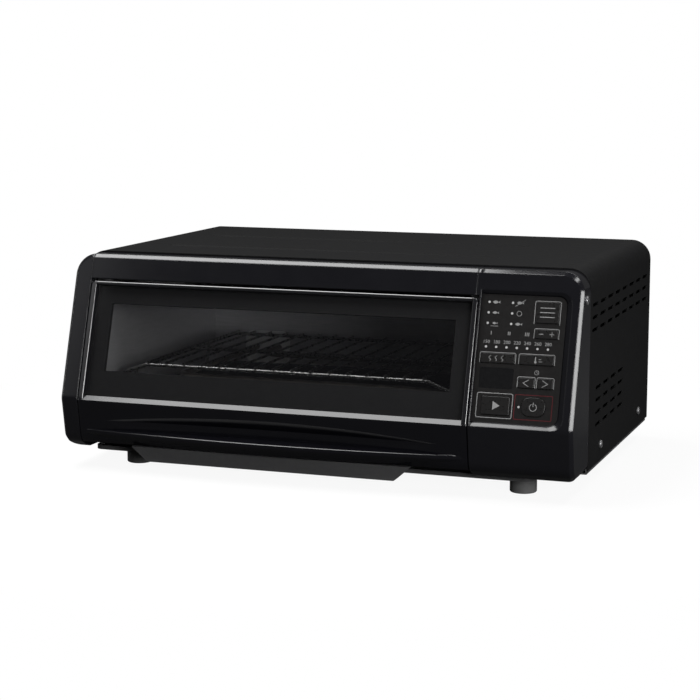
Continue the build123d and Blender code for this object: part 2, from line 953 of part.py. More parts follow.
plate_x = (heater_left + heater_return) / 2
with BuildPart() as heater_plate:
    with BuildSketch(Plane.XZ.offset(seat - cavity_rear)):
        with Locations((plate_x, heater_z)):
            RectangleRounded(heater_plate_width, heater_plate_height, heater_plate_corner)
    extrude(amount=2 * sheet)
    with BuildSketch(Plane.XZ.offset(seat - cavity_rear + sheet)):
        with Locations((plate_x, heater_z)):
            RectangleRounded(
                heater_plate_width - 2 * heater_plate_rim,
                heater_plate_height - 2 * heater_plate_rim,
                heater_plate_corner - heater_plate_rim,
            )
    extrude(amount=sheet, mode=Mode.SUBTRACT)
    with BuildSketch(Plane.XZ.offset(seat - cavity_rear)):
        with Locations((heater_left, heater_z), (heater_return, heater_z)):
            Circle(heater_hole)
    extrude(amount=sheet, mode=Mode.SUBTRACT)
heater_plate.part.label = "heater_plate"
export_step(heater_plate.part, "parts/heater_plate.step")

with BuildPart() as lower_heater:
    with BuildLine() as heater_path:
        FilletPolyline(
            (heater_left, heater_end, heater_z),
            (heater_left, heater_front, heater_z),
            (heater_right, heater_front, heater_z),
            (heater_right, heater_back, heater_z),
            (heater_return, heater_back, heater_z),
            (heater_return, heater_end, heater_z),
            radius=heater_bend,
        )
    with BuildSketch(Plane.XZ.offset(-heater_end)):
        with Locations((heater_left, heater_z)):
            Circle(heater_radius)
    sweep(path=heater_path.line)
lower_heater.part.label = "lower_heater"
export_step(lower_heater.part, "parts/lower_heater.step")

for name, tube_y in (("upper_heater_front", tube_front_y), ("upper_heater_rear", tube_rear_y)):
    with BuildPart() as upper_heater:
        with BuildSketch(Plane.YZ.offset(tube_left)):
            with Locations((tube_y, tube_z)):
                Circle(tube_radius)
                Circle(tube_radius - tube_wall, mode=Mode.SUBTRACT)
        extrude(amount=tube_right - tube_left)
    upper_heater.part.label = name
    export_step(upper_heater.part, "parts/" + name + ".step")

with BuildPart() as heating_rods:
    with BuildSketch(Plane.YZ.offset(rod_left)):
        with Locations((tube_front_y, tube_z), (tube_rear_y, tube_z)):
            Circle(rod_radius)
    extrude(amount=rod_right - rod_left)
heating_rods.part.label = "heating_rods"
export_step(heating_rods.part, "parts/heating_rods.step")

# Ceramic blocks outside the walls hold the ends of the quartz tubes.
with BuildPart() as heater_holders:
    holder_left = cavity_left - sheet - seat
    holder_right = cavity_right + sheet + seat
    for face_x, tube_x, outwards in (
        (holder_left, tube_left - seat, -holder_length),
        (holder_right, tube_right + seat, holder_length),
    ):
        with BuildSketch(Plane.YZ.offset(face_x)):
            with Locations((tube_front_y, tube_z), (tube_rear_y, tube_z)):
                Rectangle(holder_size, holder_size)
                Circle(rod_radius + seat, mode=Mode.SUBTRACT)
        extrude(amount=outwards)
        with BuildSketch(Plane.YZ.offset(face_x)):
            with Locations((tube_front_y, tube_z), (tube_rear_y, tube_z)):
                Circle(tube_radius + seat)
        extrude(amount=tube_x - face_x, mode=Mode.SUBTRACT)
heater_holders.part.label = "heater_holders"
export_step(heater_holders.part, "parts/heater_holders.step")

with BuildPart() as reflector:
    slope = reflector_high - reflector_low
    with BuildSketch(Plane.YZ.offset(reflector_left)):
        for rise in (reflector_sheet, 0):
            with BuildLine():
                Polyline(
                    (reflector_front, reflector_low + rise),
                    (reflector_front + slope, reflector_high + rise),
                    (reflector_rear - slope, reflector_high + rise),
                    (reflector_rear, reflector_low + rise),
                    (reflector_rear, reflector_low + rise - slope),
                    (reflector_front, reflector_low + rise - slope),
                    close=True,
                )
            make_face(mode=Mode.ADD if rise else Mode.SUBTRACT)
        span(-case_rear, case_rear, 0, reflector_low, mode=Mode.SUBTRACT)
    extrude(amount=reflector_right - reflector_left)
    with BuildSketch(Plane.XY.offset(cavity_top - seat)):
        spacer_x = (reflector_left + reflector_right) / 2
        spacer_y = (reflector_front + reflector_rear) / 2
        with Locations((spacer_x, spacer_y)):
            with GridLocations(
                (reflector_right - reflector_left) / 1.5,
                (reflector_rear - reflector_front) / 2,
                2,
                2,
            ):
                Circle(spacer_radius)
    extrude(amount=reflector_high + seat - cavity_top)
reflector.part.label = "reflector"
export_step(reflector.part, "parts/reflector.step")

with BuildPart() as temperature_sensor:
    with BuildSketch(Plane.YZ.offset(cavity_right + sensor_outside)):
        with Locations((sensor_y, sensor_z)):
            Circle(sensor_radius)
    extrude(amount=-sensor_outside - sensor_reach)
    fillet(temperature_sensor.edges().group_by(Axis.X)[0], sensor_radius / 2)
    with BuildSketch(Plane.YZ.offset(cavity_right - seat)):
        with Locations((sensor_y, sensor_z)):
            Circle(gland_radius)
    extrude(amount=-gland_length)
temperature_sensor.part.label = "temperature_sensor"
export_step(temperature_sensor.part, "parts/temperature_sensor.step")

tub_floor = base_low + sheet + seat
with BuildPart() as heat_shield:
    with BuildSketch(Plane.YZ.offset(shield_x)):
        span(shield_front, shield_rear, tub_floor, shield_high)
        make_face(ahead_of(plate_depth + 2 * sheet), mode=Mode.SUBTRACT)
    extrude(amount=sheet)
    with BuildSketch(Plane.XY.offset(tub_floor)):
        span(shield_x, shield_x + support_width, shield_front, shield_rear)
    extrude(amount=sheet)
heat_shield.part.label = "heat_shield"
export_step(heat_shield.part, "parts/heat_shield.step")

support_top = cavity_floor - sheet - seat
for name, support_y in (
    ("cavity_support_front", support_front_y),
    ("cavity_support_rear", support_rear_y),
):
    with BuildPart() as cavity_support:
        with BuildSketch(Plane.YZ.offset(support_left)):
            span(
                support_y - support_width / 2,
                support_y + support_width / 2,
                tub_floor,
                support_top,
            )
            span(
                support_y - support_width / 2 + sheet,
                support_y + support_width,
                tub_floor + sheet,
                support_top - sheet,
                mode=Mode.SUBTRACT,
            )
        extrude(amount=support_right - support_left)
        with BuildSketch(Plane.XY.offset(tub_floor)):
            with Locations((0, support_y)):
                with GridLocations(2 * base_screw_x, 1, 2, 1):
                    Circle(screw_hole)
        extrude(amount=sheet, mode=Mode.SUBTRACT)
    cavity_support.part.label = name
    export_step(cavity_support.part, "parts/" + name + ".step")

# ================================================================ drawer rails and carrier
rail_names = ("guide_rail_left", "guide_rail_right")
wall_sides = ((cavity_left + seat, 1), (cavity_right - seat, -1))
for name, (wall_x, inwards) in zip(rail_names, wall_sides):
    with BuildPart() as guide_rail:
        with BuildSketch(Plane.XZ.offset(-rail_front)):
            for low, high, reach in (
                (rail_low, rail_low + sheet, rail_width),
                (rail_low, rail_high, sheet),
                (rail_high - sheet, rail_high, rail_width),
            ):
                span(*sorted((wall_x, wall_x + inwards * reach)), low, high)
        extrude(amount=rail_front - rail_rear)
    guide_rail.part.label = name
    export_step(guide_rail.part, "parts/" + name + ".step")

carrier_front = lean_y(knee_z, door_depth) + seat
carrier_left = cavity_left + seat + sheet + slide_gap
carrier_right = cavity_right - seat - sheet - slide_gap
arm_low = rail_low + sheet + slide_gap
arm_high = rail_high - sheet - slide_gap
door_screw_places = [(door_screw_left + i * door_screw_step, door_screw_z) for i in range(4)]
with BuildPart() as tray_carrier:
    with BuildSketch(Plane.XZ.offset(-carrier_front)):
        span(carrier_left, carrier_right, carrier_front_low, carrier_front_high)
        with Locations(*door_screw_places):
            Circle(screw_hole, mode=Mode.SUBTRACT)
    extrude(amount=-arm_thick)
    with BuildSketch(Plane.XZ.offset(-carrier_front)):
        span(carrier_left, carrier_left + arm_thick, arm_low, arm_high)
        span(carrier_right - arm_thick, carrier_right, arm_low, arm_high)
        span(carrier_left, tray_middle - shelf_half, shelf_z - shelf_thick, shelf_z)
        span(tray_middle + shelf_half, carrier_right, shelf_z - shelf_thick, shelf_z)
    extrude(amount=carrier_front - carrier_rear)
    with BuildSketch(Plane.XY.offset(shelf_z)):
        span(carrier_left, carrier_right, carrier_rear - carrier_bar, carrier_rear)
    extrude(amount=-shelf_thick)
tray_carrier.part.label = "tray_carrier"
export_step(tray_carrier.part, "parts/tray_carrier.step")

tray_length = tray_rear - tray_front
tray_y = (tray_front + tray_rear) / 2
with BuildPart() as drip_tray:
    for shrink, base in ((0, shelf_z + seat), (tray_wall, shelf_z + seat + tray_wall)):
        with BuildSketch(Plane.XY.offset(tray_rim)):
            with Locations((tray_middle, tray_y)):
                RectangleRounded(
                    2 * (tray_half - tray_flange - shrink),
                    tray_length - 2 * (tray_flange + shrink),
                    tray_corner - shrink,
                )
        extrude(
            amount=base - tray_rim,
            taper=tray_draft,
            mode=Mode.SUBTRACT if shrink else Mode.ADD,
        )
        if not shrink:
            with BuildSketch(Plane.XY.offset(tray_rim)):
                with Locations((tray_middle, tray_y)):
                    RectangleRounded(2 * tray_half, tray_length, tray_corner + tray_flange)
            extrude(amount=-tray_wall)
drip_tray.part.label = "drip_tray"
export_step(drip_tray.part, "parts/drip_tray.step")

# ================================================================ wire net
with BuildPart() as wire_net:
    for side in (-1, 1):
        with BuildSketch(Plane.XZ.offset(-net_front)):
            with Locations((tray_middle + side * net_half_side, net_side_z)):
                Circle(frame_wire)
        extrude(amount=net_front - net_rear)
        for foot_y in (net_foot_front, net_foot_rear):
            with BuildLine() as leg:
                Line(
                    (tray_middle + side * net_half_side, foot_y, net_side_z),
                    (tray_middle + side * net_foot_half, foot_y, tray_rim + 3 * seat),
                )
            with BuildSketch(Plane(origin=leg.line @ 0, z_dir=leg.line % 0)):
                Circle(cross_wire)
            sweep(path=leg.line)
    for cross_y in (net_front, (net_front + net_rear) / 2, net_rear):
        with BuildLine() as crossing:
            FilletPolyline(
                (tray_middle - net_half_side, cross_y, net_side_z),
                (tray_middle - net_half_top, cross_y, net_cross_z),
                (tray_middle + net_half_top, cross_y, net_cross_z),
                (tray_middle + net_half_side, cross_y, net_side_z),
                radius=net_bend,
            )
        with BuildSketch(Plane(origin=crossing.line @ 0, z_dir=crossing.line % 0)):
            Circle(cross_wire)
        sweep(path=crossing.line)
    bar_z = net_cross_z + cross_wire + bar_wire - weld
    with BuildSketch(Plane.XZ.offset(-net_front + cross_wire)):
        with Locations((tray_middle, bar_z)):
            with GridLocations(net_pitch, 1, net_bars, 1):
                Circle(bar_wire)
    extrude(amount=net_front - net_rear - 2 * cross_wire)
    # The feet end flat on the rim of the tray.
    with BuildSketch(Plane.XY.offset(tray_rim + 3 * seat)):
        with Locations((tray_middle, tray_y)):
            Rectangle(case_width, case_width)
    extrude(amount=-tray_rim, mode=Mode.SUBTRACT)
wire_net.part.label = "wire_net"
export_step(wire_net.part, "parts/wire_net.step")

# ================================================================ door
axis_y = lip_front + lip_radius
lip_turn = asin(lip_half / lip_radius)
groove_y = groove_back - groove_radius
groove_turn = asin(groove_half / groove_radius)
slot_low = -glass_tuck
trim_left = door_left + trim_width
trim_right = door_right - trim_width
with BuildPart() as door_body:
    with BuildSketch(Plane.YZ.offset(door_left)):
        make_face(front_outline(0, cover_front))
    extrude(amount=door_right - door_left)
    # The pull lip bulges towards the user in a wide arc.
    with BuildSketch(
        Plane(
            origin=(handle_middle, axis_y, 0),
            x_dir=(-sin(lip_turn), -cos(lip_turn), 0),
            z_dir=(-cos(lip_turn), sin(lip_turn), 0),
        )
    ):
        with BuildLine():
            FilletPolyline(
                (axis_y - skirt_rear, lip_back_low),
                (axis_y - skirt_rear, lip_back_high),
                (axis_y - lip_front, lip_high),
                (axis_y - lip_front, lip_nose),
                (axis_y - lip_low_y, lip_low),
                radius=(0, 0, lip_round, lip_round, 2 * lip_round),
                close=True,
            )
        make_face()
    revolve(
        axis=Axis((handle_middle, axis_y, 0), (0, 0, 1)),
        revolution_arc=2 * degrees(lip_turn),
    )
    # The finger groove over the lip is a scoop, shallow at its ends.
    with BuildSketch(
        Plane(
            origin=(handle_middle, groove_y, 0),
            x_dir=(sin(groove_turn), cos(groove_turn), 0),
            z_dir=(cos(groove_turn), -sin(groove_turn), 0),
        )
    ):
        with BuildLine():
            Polyline(
                (groove_radius - groove_reach, groove_low),
                (groove_radius, groove_low),
                (groove_radius, groove_back_high),
                (groove_radius - groove_scoop, groove_high),
                (groove_radius - groove_reach, groove_high),
                close=True,
            )
        make_face()
    revolve(
        axis=Axis((handle_middle, groove_y, 0), (0, 0, 1)),
        revolution_arc=2 * degrees(groove_turn),
        mode=Mode.SUBTRACT,
    )
    with BuildSketch(Plane.YZ.offset(door_left)):
        make_face(ahead_of(door_depth))
        span(-case_width, 0, lip_back_low, cover_top, mode=Mode.INTERSECT)
    extrude(amount=door_right - door_left, mode=Mode.INTERSECT)
    with BuildSketch(Plane.YZ.offset(door_left)):
        make_face(above_ledge(0))
    extrude(amount=door_right - door_left, mode=Mode.SUBTRACT)
    with BuildSketch(behind(glass_depth)):
        span(trim_left, trim_right, slot_low, ledge + seat)
    extrude(amount=-glass_thick - 2 * glass_gap, mode=Mode.SUBTRACT)
    with BuildSketch(Plane.XZ.offset(-carrier_front)):
        with Locations(*door_screw_places):
            Circle(screw_hole)
    extrude(amount=screw_length - arm_thick + sheet, mode=Mode.SUBTRACT)
    with BuildSketch(Plane.XZ.offset(-carrier_front)):
        span(pocket_left, pocket_right, pocket_low, pocket_high)
    extrude(amount=pocket_depth, mode=Mode.SUBTRACT)
door_body.part.label = "door_body"
export_step(door_body.part, "parts/door_body.step")

with BuildPart() as door_skirt:
    with BuildSketch(Plane.XZ.offset(-skirt_front)):
        with BuildLine():
            Polyline(
                (handle_middle - skirt_half_high, skirt_high),
                (handle_middle + skirt_half_high, skirt_high),
                (handle_middle + skirt_half_low, skirt_low),
                (handle_middle - skirt_half_low, skirt_low),
                close=True,
            )
        make_face()
    extrude(amount=skirt_front - skirt_rear)
    with BuildSketch(Plane.XZ.offset(-skirt_rear)):
        span(
            handle_middle - skirt_half_low + skirt_wall,
            handle_middle + skirt_half_low - skirt_wall,
            skirt_low + skirt_wall,
            skirt_high - skirt_wall,
        )
    extrude(amount=skirt_rear - skirt_front - skirt_wall, mode=Mode.SUBTRACT)
door_skirt.part.label = "door_skirt"
export_step(door_skirt.part, "parts/door_skirt.step")

bar_low = door_top - bar_height
with BuildPart() as door_glass:
    with BuildSketch(behind(glass_depth + seat)):
        span(trim_left + glass_gap, trim_right - glass_gap, slot_low + seat, bar_low - glass_gap)
    extrude(amount=-glass_thick)
door_glass.part.label = "door_glass"
export_step(door_glass.part, "parts/door_glass.step")

pan_depth = glass_depth + glass_thick + glass_gap
pan_low = ledge + glass_gap
pan_high = bar_low - glass_gap
with BuildPart() as door_inner_frame:
    with BuildSketch(behind(pan_depth)):
        span(trim_left + seat, trim_right - seat, pan_low, pan_high)
    extrude(amount=pan_depth - door_depth)
    with BuildSketch(behind(pan_depth + sheet)):
        span(
            trim_left + seat + sheet, trim_right - seat - sheet, pan_low + sheet, pan_high - sheet
        )
    extrude(amount=-door_depth, mode=Mode.SUBTRACT)
    with BuildSketch(behind(pan_depth)):
        span(window_left - sheet, window_right + sheet, window_low - sheet, window_high + sheet)
    extrude(amount=-window_return - sheet)
    with BuildSketch(behind(pan_depth)):
        span(window_left, window_right, window_low, window_high)
    extrude(amount=-door_depth, mode=Mode.SUBTRACT)
door_inner_frame.part.label = "door_inner_frame"
export_step(door_inner_frame.part, "parts/door_inner_frame.step")


def on_front(edge):
    """Whether an edge lies in the leaning face."""
    return abs(front_plane.to_local_coords(edge.center()).Z) < seat


def door_trim(strip, left, outer_x):
    """A gloss strip beside the glass: rounded front edges and one rounded top corner."""
    with BuildSketch(Plane.YZ.offset(left)) as section:
        make_face(front_outline(0, cover_front))
        make_face(ahead_of(door_depth), mode=Mode.INTERSECT)
        make_face(above_ledge(seat), mode=Mode.INTERSECT)
    extrude(section.sketch, amount=trim_width)
    split(bisect_by=across(door_top), keep=Keep.BOTTOM)
    corner = strip.edges().filter_by(
        lambda e: abs(e.center().X - outer_x) < seat
        and abs(front_plane.to_local_coords(e.center()).Y - door_top) < seat
    )
    fillet(corner, trim_corner)
    face_edges = strip.edges().filter_by(on_front)
    fillet(face_edges.filter_by(lambda e: e.length > trim_round + seat), trim_round)


with BuildPart() as door_trim_left:
    door_trim(door_trim_left, door_left, door_left)
door_trim_left.part.label = "door_trim_left"
export_step(door_trim_left.part, "parts/door_trim_left.step")

with BuildPart() as door_trim_right:
    door_trim(door_trim_right, trim_right, door_right)
door_trim_right.part.label = "door_trim_right"
export_step(door_trim_right.part, "parts/door_trim_right.step")

with BuildPart() as door_top_bar:
    with BuildSketch(behind(0)):
        span(trim_left + seat, trim_right - seat, bar_low, door_top)
    extrude(amount=-door_depth)
    fillet(
        door_top_bar.edges().filter_by(Axis.X).filter_by(on_front),
        bar_round,
    )
door_top_bar.part.label = "door_top_bar"
export_step(door_top_bar.part, "parts/door_top_bar.step")

# ================================================================ exhaust
with BuildPart() as catalyst_filter:
    filter_x = (port_left + port_right) / 2
    filter_z = (port_low + port_high) / 2
    with BuildSketch(Plane.XZ.offset(-cavity_rear - sheet - seat)):
        with Locations((filter_x, filter_z)):
            Rectangle(filter_width, filter_height)
            cell_pitch = (filter_width - filter_web) / filter_columns
            cell_step = (filter_height - filter_web) / filter_rows
            with GridLocations(cell_pitch, cell_step, filter_columns, filter_rows):
                Rectangle(cell_pitch - filter_web, cell_step - filter_web, mode=Mode.SUBTRACT)
    extrude(amount=-filter_depth)
catalyst_filter.part.label = "catalyst_filter"
export_step(catalyst_filter.part, "parts/catalyst_filter.step")

duct_front = cavity_rear + sheet + seat
with BuildPart() as exhaust_duct:
    with BuildSketch(Plane.XZ.offset(-duct_front)):
        span(duct_left, duct_right, duct_low, duct_high)
    extrude(amount=duct_front - duct_rear)
    with BuildSketch(Plane.XZ.offset(-duct_front)):
        span(duct_left + sheet, duct_right - sheet, duct_low + sheet, duct_high - sheet)
    extrude(amount=duct_front - duct_rear + sheet, mode=Mode.SUBTRACT)
    with BuildSketch(Plane.XZ.offset(-duct_rear)):
        with Locations((fan_x, fan_z)):
            Circle(fan_hole)
            Circle(motor_radius, mode=Mode.SUBTRACT)
            with PolarLocations(fan_hole / 2, 3):
                Rectangle(fan_hole + sheet, spider_arm, mode=Mode.SUBTRACT)
    extrude(amount=sheet, mode=Mode.SUBTRACT)
exhaust_duct.part.label = "exhaust_duct"
export_step(exhaust_duct.part, "parts/exhaust_duct.step")

with BuildPart() as fan_motor:
    with BuildSketch(Plane.XZ.offset(-motor_front)):
        with Locations((fan_x, fan_z)):
            Circle(motor_radius)
    extrude(amount=motor_front - duct_rear + sheet + seat)
    fillet(fan_motor.edges().group_by(Axis.Y)[0], sheet)
    with BuildSketch(Plane.XZ.offset(-motor_front)):
        with Locations((fan_x, fan_z)):
            Circle(shaft_radius)
    extrude(amount=shaft_reach)
fan_motor.part.label = "fan_motor"
export_step(fan_motor.part, "parts/fan_motor.step")

with BuildPart() as fan_impeller:
    fan_face = Plane.XZ.offset(-fan_front)
    blade_angle = 360 / fan_blades
    for i in range(fan_blades):
        with BuildSketch(
            Plane(
                origin=(fan_x, fan_front + fan_depth / 2, fan_z),
                x_dir=(0, 1, 0),
                z_dir=Vector(1, 0, 0).rotate(Axis.Y, i * blade_angle),
            ).rotated((0, 0, blade_pitch))
        ):
            Rectangle(2 * fan_depth, blade_thick)
        extrude(amount=fan_radius)
    with BuildSketch(fan_face):
        with Locations((fan_x, fan_z)):
            Circle(fan_radius)
    extrude(amount=-fan_depth, mode=Mode.INTERSECT)
    with BuildSketch(fan_face):
        with Locations((fan_x, fan_z)):
            Circle(hub_radius)
    extrude(amount=-fan_depth)
    with BuildSketch(Plane.XZ.offset(shaft_reach + seat - motor_front)):
        with Locations((fan_x, fan_z)):
            Circle(shaft_radius + shaft_fit)
    extrude(amount=-shaft_reach, mode=Mode.SUBTRACT)
fan_impeller.part.label = "fan_impeller"
export_step(fan_impeller.part, "parts/fan_impeller.step")

# ================================================================ electronics
with BuildPart() as power_board:
    board_y = (power_board_front + power_board_rear) / 2
    board_z = (power_board_low + power_board_high) / 2
    with BuildSketch(Plane.YZ.offset(power_board_x)):
        span(power_board_front, power_board_rear, power_board_low, power_board_high)
    extrude(amount=board_thick)
    with BuildSketch(Plane.YZ.offset(power_board_x)):
        with Locations((board_y, board_z)):
            with GridLocations(
                power_board_rear - power_board_front - support_width,
                power_board_high - power_board_low - support_width,
                2,
                2,
            ):
                Circle(post_radius)
    extrude(amount=shield_x + sheet + seat - power_board_x)
    # A transformer, two relays and three capacitors.
    with BuildSketch(Plane.YZ.offset(power_board_x)):
        with Locations((power_board_front + transformer, board_z)):
            Rectangle(transformer, transformer)
    extrude(amount=transformer)
    with BuildSketch(Plane.YZ.offset(power_board_x)):
        with Locations((board_y + transformer / 2, board_z)):
            with GridLocations(1, transformer, 1, 2):
                Rectangle(transformer, transformer / 2)
    extrude(amount=transformer / 2)
    with BuildSketch(Plane.YZ.offset(power_board_x)):
        with Locations((power_board_rear - transformer / 2, board_z)):
            with GridLocations(1, transformer * 0.8, 1, 3):
                Circle(capacitor_radius)
    extrude(amount=transformer * 0.8)
power_board.part.label = "power_board"
export_step(power_board.part, "parts/power_board.step")

# ================================================================ screws
with BuildPart() as screw:
    with BuildSketch(Plane.XY):
        Circle(screw_head)
    extrude(amount=screw_head_high)
    fillet(screw.edges().group_by(Axis.Z)[-1], screw_head_high / 2)
    with BuildSketch(Plane.XY.offset(screw_head_high)):
        Rectangle(screw_head, screw_slot)
        Rectangle(screw_slot, screw_head)
    extrude(amount=-screw_slot, mode=Mode.SUBTRACT)
    with BuildSketch(Plane.XY):
        Circle(screw_radius)
    extrude(amount=-screw_length)

with BuildPart() as cover_screws:
    for y in (cover_screw_front_y, cover_screw_rear_y):
        with Locations(
            Location((side_x, y, cover_screw_z), (0, 90, 0)),
            Location((-side_x, y, cover_screw_z), (0, -90, 0)),
        ):
            add(screw.part)
cover_screws.part.label = "cover_screws"
export_step(cover_screws.part, "parts/cover_screws.step")

with BuildPart() as frame_screws:
    with Locations(
        Location((side_x, frame_screw_y, frame_screw_z), (0, 90, 0)),
        Location((-side_x, frame_screw_y, frame_screw_z), (0, -90, 0)),
    ):
        add(screw.part)
frame_screws.part.label = "frame_screws"
export_step(frame_screws.part, "parts/frame_screws.step")

with BuildPart() as back_screws:
    for side in (-1, 1):
        for x, z in (
            (back_screw_x, back_screw_z - back_screw_step / 2),
            (back_screw_x, back_screw_z + back_screw_step / 2),
            (base_back_screw_x, base_back_screw_z),
        ):
            with Locations(Location((side * x, panel_y + sheet, z), (-90, 0, 0))):
                add(screw.part)
back_screws.part.label = "back_screws"
export_step(back_screws.part, "parts/back_screws.step")

with BuildPart() as base_screws:
    for side in (-1, 1):
        for y in (support_front_y, support_rear_y):
            with Locations(Location((side * base_screw_x, y, base_low), (180, 0, 0))):
                add(screw.part)
base_screws.part.label = "base_screws"
export_step(base_screws.part, "parts/base_screws.step")

with BuildPart() as door_screws:
    for x, z in door_screw_places:
        with Locations(Location((x, carrier_front + arm_thick, z), (-90, 0, 0))):
            add(screw.part)
door_screws.part.label = "door_screws"
export_step(door_screws.part, "parts/door_screws.step")
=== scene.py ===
import bpy, math
from mathutils import Matrix, Vector


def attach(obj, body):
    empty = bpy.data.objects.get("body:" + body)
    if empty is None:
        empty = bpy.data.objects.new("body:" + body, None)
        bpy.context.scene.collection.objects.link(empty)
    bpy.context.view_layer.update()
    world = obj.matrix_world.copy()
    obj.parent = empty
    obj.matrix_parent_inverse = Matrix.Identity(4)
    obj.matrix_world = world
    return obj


# The looks of an electric fish roaster on a pale studio floor. Metres, Z up, user on the -Y side.
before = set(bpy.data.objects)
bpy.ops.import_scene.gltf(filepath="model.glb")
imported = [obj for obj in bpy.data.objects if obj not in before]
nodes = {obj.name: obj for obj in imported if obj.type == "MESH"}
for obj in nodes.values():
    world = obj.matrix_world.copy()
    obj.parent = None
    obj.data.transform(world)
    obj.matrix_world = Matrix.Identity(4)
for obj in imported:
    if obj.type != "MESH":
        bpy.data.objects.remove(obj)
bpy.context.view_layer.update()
scene = bpy.context.scene
MM = 0.001

# ------------------------------------------------------------------ places on the leaning front
LEAN = math.radians(17.5)
UP = Vector((0, math.sin(LEAN), math.cos(LEAN)))
OUT = Vector((0, -math.cos(LEAN), math.sin(LEAN)))
# All in millimetres: the edge where the front starts to lean, how deep the printed panel and the
# keys' faces lie behind the front, and how far ink stands off its surface.
KNEE = Vector((0, -163.0, 67.0))
PANEL_DEPTH = 3.1
KEY_DEPTH = 2.3
PRINT_THICK = 0.06


def on_front(x, s, depth):
    """A point of the leaning front, from millimetres along X, up the lean and behind its face."""
    return (Vector((x, 0, 0)) + KNEE + UP * s - OUT * depth) * MM


# ------------------------------------------------------------------ materials
DRIFT_DETAIL = 3.0  # of the noise that drifts the tone and the roughness
FINE_DETAIL = 2.0  # of the noise under the bump
BUMP_DISTANCE = 0.0002  # metres
COAT_ROUGH = 0.05
EDGE_SAMPLES = 6
GLOW_STRENGTH = 1.0


def socket(shader, name, value):
    """Set a constant on the shader's own socket."""
    shader.inputs[name].default_value = value


def noise(tree, scale, detail, stretch):
    """A noise texture in object space, stretched along an axis where the real grain is."""
    place = tree.nodes.new("ShaderNodeTexCoord")
    mapping = tree.nodes.new("ShaderNodeMapping")
    mapping.inputs["Scale"].default_value = stretch
    texture = tree.nodes.new("ShaderNodeTexNoise")
    texture.inputs["Scale"].default_value = scale
    texture.inputs["Detail"].default_value = detail
    tree.links.new(place.outputs["Object"], mapping.inputs["Vector"])
    tree.links.new(mapping.outputs["Vector"], texture.inputs["Vector"])
    return texture.outputs["Fac"]


def ranged(tree, source, low, high, start=0.3, end=0.7):
    """The source's span from start to end, as low to high. The defaults suit noise."""
    node = tree.nodes.new("ShaderNodeMapRange")
    node.inputs["From Min"].default_value = start
    node.inputs["From Max"].default_value = end
    node.inputs["To Min"].default_value = low
    node.inputs["To Max"].default_value = high
    tree.links.new(source, node.inputs["Value"])
    return node.outputs["Result"]


def mixed(tree, factor, first, second):
    """A blend of two colours."""
    node = tree.nodes.new("ShaderNodeMix")
    node.data_type = "RGBA"
    node.inputs["A"].default_value = (*first, 1)
    node.inputs["B"].default_value = (*second, 1)
    tree.links.new(factor, node.inputs["Factor"])
    return node.outputs["Result"]


def surface(
    name,
    colour,
    second,
    rough,
    metal=0.0,
    specular=0.5,
    coat=0.0,
    grain=300.0,
    stretch=(1, 1, 1),
    bump=0.0,
    bump_scale=900.0,
    alpha=1.0,
    glow=None,
    edge=0.0,
):
    """A procedural material: two tones and a roughness that drift with noise, over a fine bump.

    An edge radius in metres rounds the look of the moulding's edges.
    """
    made = bpy.data.materials.new(name)
    made.use_nodes = True
    tree = made.node_tree
    shader = tree.nodes["Principled BSDF"]
    socket(shader, "Metallic", metal)
    socket(shader, "Specular IOR Level", specular)
    socket(shader, "Coat Weight", coat)
    socket(shader, "Coat Roughness", COAT_ROUGH)
    socket(shader, "Alpha", alpha)
    drift = noise(tree, grain, DRIFT_DETAIL, stretch)
    tone = mixed(tree, ranged(tree, drift, 0, 1), colour, second)
    tree.links.new(tone, shader.inputs["Base Color"])
    tree.links.new(ranged(tree, drift, *rough), shader.inputs["Roughness"])
    if bump:
        fine = noise(tree, bump_scale, FINE_DETAIL, stretch)
        node = tree.nodes.new("ShaderNodeBump")
        node.inputs["Strength"].default_value = bump
        node.inputs["Distance"].default_value = BUMP_DISTANCE
        tree.links.new(fine, node.inputs["Height"])
        tree.links.new(node.outputs["Normal"], shader.inputs["Normal"])
    if edge:
        soft = tree.nodes.new("ShaderNodeBevel")
        soft.samples = EDGE_SAMPLES
        soft.inputs["Radius"].default_value = edge
        tree.links.new(soft.outputs["Normal"], shader.inputs["Normal"])
    if glow:
        socket(shader, "Emission Color", (*glow, 1))
        socket(shader, "Emission Strength", GLOW_STRENGTH)
    return made


gloss = surface("gloss_black", (0.0055, 0.0055, 0.007), (0.0062, 0.0062, 0.0078), (0.13, 0.17),
                specular=0.42, grain=40, edge=0.0016)
trim_gloss = surface("trim_gloss", (0.0055, 0.0055, 0.007), (0.0062, 0.0062, 0.0078),
                     (0.16, 0.2), specular=0.9, coat=0.5, grain=40)
door_black = surface("door_black", (0.003, 0.003, 0.0043), (0.0035, 0.0035, 0.005),
                     (0.15, 0.19), specular=0.45, grain=40)
skirt_black = surface("skirt_black", (0.046, 0.046, 0.047), (0.052, 0.052, 0.053), (0.5, 0.6),
                      specular=0.2, bump=0.25, bump_scale=1500)
paint = surface("satin_paint", (0.008, 0.008, 0.0082), (0.0094, 0.0094, 0.0096), (0.55, 0.62),
                specular=0.02, bump=0.06, bump_scale=1800, grain=120)
base_grey = surface("base_grey", (0.05, 0.05, 0.051), (0.06, 0.06, 0.061), (0.45, 0.55),
                    specular=0.2, bump=0.1, bump_scale=1800)
zinc = surface("zinc_sheet", (0.42, 0.43, 0.44), (0.55, 0.56, 0.57), (0.3, 0.5), metal=1.0,
               grain=55)
cavity_steel = surface("cavity_steel", (0.42, 0.42, 0.43), (0.5, 0.5, 0.51), (0.34, 0.48),
                       metal=0.6, grain=60, stretch=(1, 1, 14), bump=0.08)
plate_steel = surface("plate_steel", (0.7, 0.7, 0.7), (0.78, 0.78, 0.78), (0.3, 0.4), metal=0.3,
                      grain=60)
